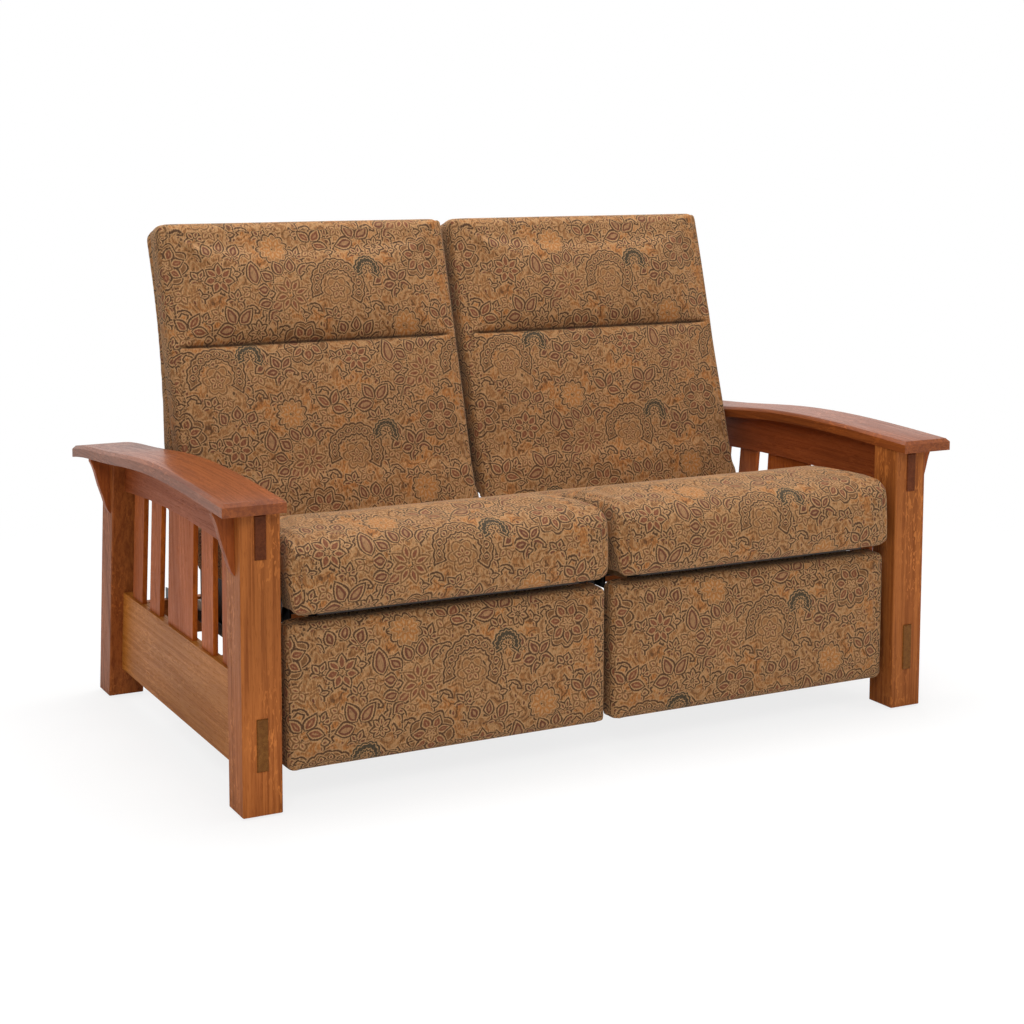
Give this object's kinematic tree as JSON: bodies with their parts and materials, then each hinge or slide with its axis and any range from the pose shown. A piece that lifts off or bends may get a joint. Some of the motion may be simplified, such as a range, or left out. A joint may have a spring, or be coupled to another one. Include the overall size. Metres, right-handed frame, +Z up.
{
  "type": "reclining loveseat",
  "caption": "Mission style oak loveseat with slatted arms, two upholstered seats whose backs recline on sliding carriages and footrests that swing up on linkages",
  "frame": {"origin": "middle of the footprint, on the floor", "axes": "+X along the seat to the right hand of the front view, +Y to the back, +Z up"},
  "size_m": [1.616, 0.985, 1.0353],
  "materials": {
    "oak": "satin stain",
    "plywood": "bare",
    "upholstery": "woven tapestry",
    "webbing": "woven strap",
    "nylon": "moulded",
    "glide_steel": "nickel plated",
    "black_steel": "black paint"
  },
  "bodies": {
    "frame": {"front_stretcher": "oak", "rear_stretcher": "oak", "middle_legs": "oak", "glides": "glide_steel", "right_front_post": "oak", "right_rear_post": "oak", "right_arm": "oak", "right_lower_rail": "oak", "right_upper_rail": "oak", "right_narrow_slats": "oak", "right_wide_slat": "oak", "right_corbels": "oak", "right_tracks": "black_steel", "left_front_post": "oak", "left_rear_post": "oak", "left_arm": "oak", "left_lower_rail": "oak", "left_upper_rail": "oak", "left_narrow_slats": "oak", "left_wide_slat": "oak", "left_corbels": "oak", "left_tracks": "black_steel"},
    "right_seat": {"right_side_plates": "black_steel", "right_shoes": "nylon", "right_seat_frame": "plywood", "right_seat_webbing": "webbing", "right_seat_cushion": "upholstery"},
    "right_back": {"right_back_cushion": "upholstery", "right_back_panel": "upholstery", "right_back_frame": "plywood", "right_back_webbing": "webbing", "right_hinge_plates": "black_steel"},
    "right_drive": {"right_drive_cranks": "black_steel", "right_torque_tube": "black_steel"},
    "right_idler": {"right_idler_cranks": "black_steel"},
    "right_coupler": {"right_coupler_bars": "black_steel"},
    "right_rods": {"right_control_rods": "black_steel"},
    "right_footrest": {"right_footrest_brackets": "black_steel", "right_footrest_board": "plywood", "right_footrest_pad": "upholstery"},
    "right_lever": {"right_release_lever": "black_steel"},
    "left_seat": {"left_side_plates": "black_steel", "left_shoes": "nylon", "left_seat_frame": "plywood", "left_seat_webbing": "webbing", "left_seat_cushion": "upholstery"},
    "left_back": {"left_back_cushion": "upholstery", "left_back_panel": "upholstery", "left_back_frame": "plywood", "left_back_webbing": "webbing", "left_hinge_plates": "black_steel"},
    "left_drive": {"left_drive_cranks": "black_steel", "left_torque_tube": "black_steel"},
    "left_idler": {"left_idler_cranks": "black_steel"},
    "left_coupler": {"left_coupler_bars": "black_steel"},
    "left_rods": {"left_control_rods": "black_steel"},
    "left_footrest": {"left_footrest_brackets": "black_steel", "left_footrest_board": "plywood", "left_footrest_pad": "upholstery"},
    "left_lever": {"left_release_lever": "black_steel"}
  },
  "joints": [
    {"name": "right_seat_glide", "type": "slide", "parent": "frame", "child": "right_seat", "axis": [0, -1, 0], "range_m": [0, 0.095]},
    {"name": "right_recline", "type": "hinge", "parent": "right_seat", "child": "right_back", "pos_m": [0.341, 0.1395, 0.388], "axis": [-1, 0, 0], "range_deg": [0, 30]},
    {"name": "right_footrest_swing", "type": "hinge", "parent": "right_seat", "child": "right_drive", "pos_m": [0.341, -0.2495, 0.318], "axis": [-1, 0, 0], "range_deg": [0, 95]},
    {"name": "right_idler_swing", "type": "hinge", "parent": "right_seat", "child": "right_idler", "pos_m": [0.341, -0.29355, 0.34166], "axis": [-1, 0, 0], "range_deg": [0, 95]},
    {"name": "right_coupler_turn", "type": "hinge", "parent": "right_drive", "child": "right_coupler", "pos_m": [0.341, -0.13358, 0.05764], "axis": [-1, 0, 0], "range_deg": [-95, 0]},
    {"name": "right_rod_turn", "type": "hinge", "parent": "right_drive", "child": "right_rods", "pos_m": [0.341, -0.14985, 0.09418], "axis": [-1, 0, 0], "range_deg": [-95, 0]},
    {"name": "right_footrest_turn", "type": "hinge", "parent": "right_coupler", "child": "right_footrest", "pos_m": [0.341, -0.3725, 0.186], "axis": [-1, 0, 0], "range_deg": [0, 95]},
    {"name": "right_lever_lift", "type": "hinge", "parent": "right_seat", "child": "right_lever", "pos_m": [0.677, -0.1645, 0.331], "axis": [-1, 0, 0], "range_deg": [0, 30], "stiffness_Nm_per_rad": 1.5, "springref_deg": -11.46},
    {"name": "left_seat_glide", "type": "slide", "parent": "frame", "child": "left_seat", "axis": [0, -1, 0], "range_m": [0, 0.095]},
    {"name": "left_recline", "type": "hinge", "parent": "left_seat", "child": "left_back", "pos_m": [-0.341, 0.1395, 0.388], "axis": [-1, 0, 0], "range_deg": [0, 30]},
    {"name": "left_footrest_swing", "type": "hinge", "parent": "left_seat", "child": "left_drive", "pos_m": [-0.341, -0.2495, 0.318], "axis": [-1, 0, 0], "range_deg": [0, 95]},
    {"name": "left_idler_swing", "type": "hinge", "parent": "left_seat", "child": "left_idler", "pos_m": [-0.341, -0.29355, 0.34166], "axis": [-1, 0, 0], "range_deg": [0, 95]},
    {"name": "left_coupler_turn", "type": "hinge", "parent": "left_drive", "child": "left_coupler", "pos_m": [-0.341, -0.13358, 0.05764], "axis": [-1, 0, 0], "range_deg": [-95, 0]},
    {"name": "left_rod_turn", "type": "hinge", "parent": "left_drive", "child": "left_rods", "pos_m": [-0.341, -0.14985, 0.09418], "axis": [-1, 0, 0], "range_deg": [-95, 0]},
    {"name": "left_footrest_turn", "type": "hinge", "parent": "left_coupler", "child": "left_footrest", "pos_m": [-0.341, -0.3725, 0.186], "axis": [-1, 0, 0], "range_deg": [0, 95]},
    {"name": "left_lever_lift", "type": "hinge", "parent": "left_seat", "child": "left_lever", "pos_m": [-0.677, -0.1645, 0.331], "axis": [-1, 0, 0], "range_deg": [0, 30], "stiffness_Nm_per_rad": 1.5, "springref_deg": -11.46}
  ],
  "couplings": [
    {"joint": "right_seat_glide", "follows": "right_recline", "m_per_rad": 0.18},
    {"joint": "right_idler_swing", "follows": "right_footrest_swing", "ratio": 1},
    {"joint": "right_coupler_turn", "follows": "right_footrest_swing", "ratio": -1},
    {"joint": "right_rod_turn", "follows": "right_footrest_swing", "ratio": -1},
    {"joint": "right_footrest_turn", "follows": "right_footrest_swing", "ratio": 1},
    {"joint": "left_seat_glide", "follows": "left_recline", "m_per_rad": 0.18},
    {"joint": "left_idler_swing", "follows": "left_footrest_swing", "ratio": 1},
    {"joint": "left_coupler_turn", "follows": "left_footrest_swing", "ratio": -1},
    {"joint": "left_rod_turn", "follows": "left_footrest_swing", "ratio": -1},
    {"joint": "left_footrest_turn", "follows": "left_footrest_swing", "ratio": 1}
  ]
}
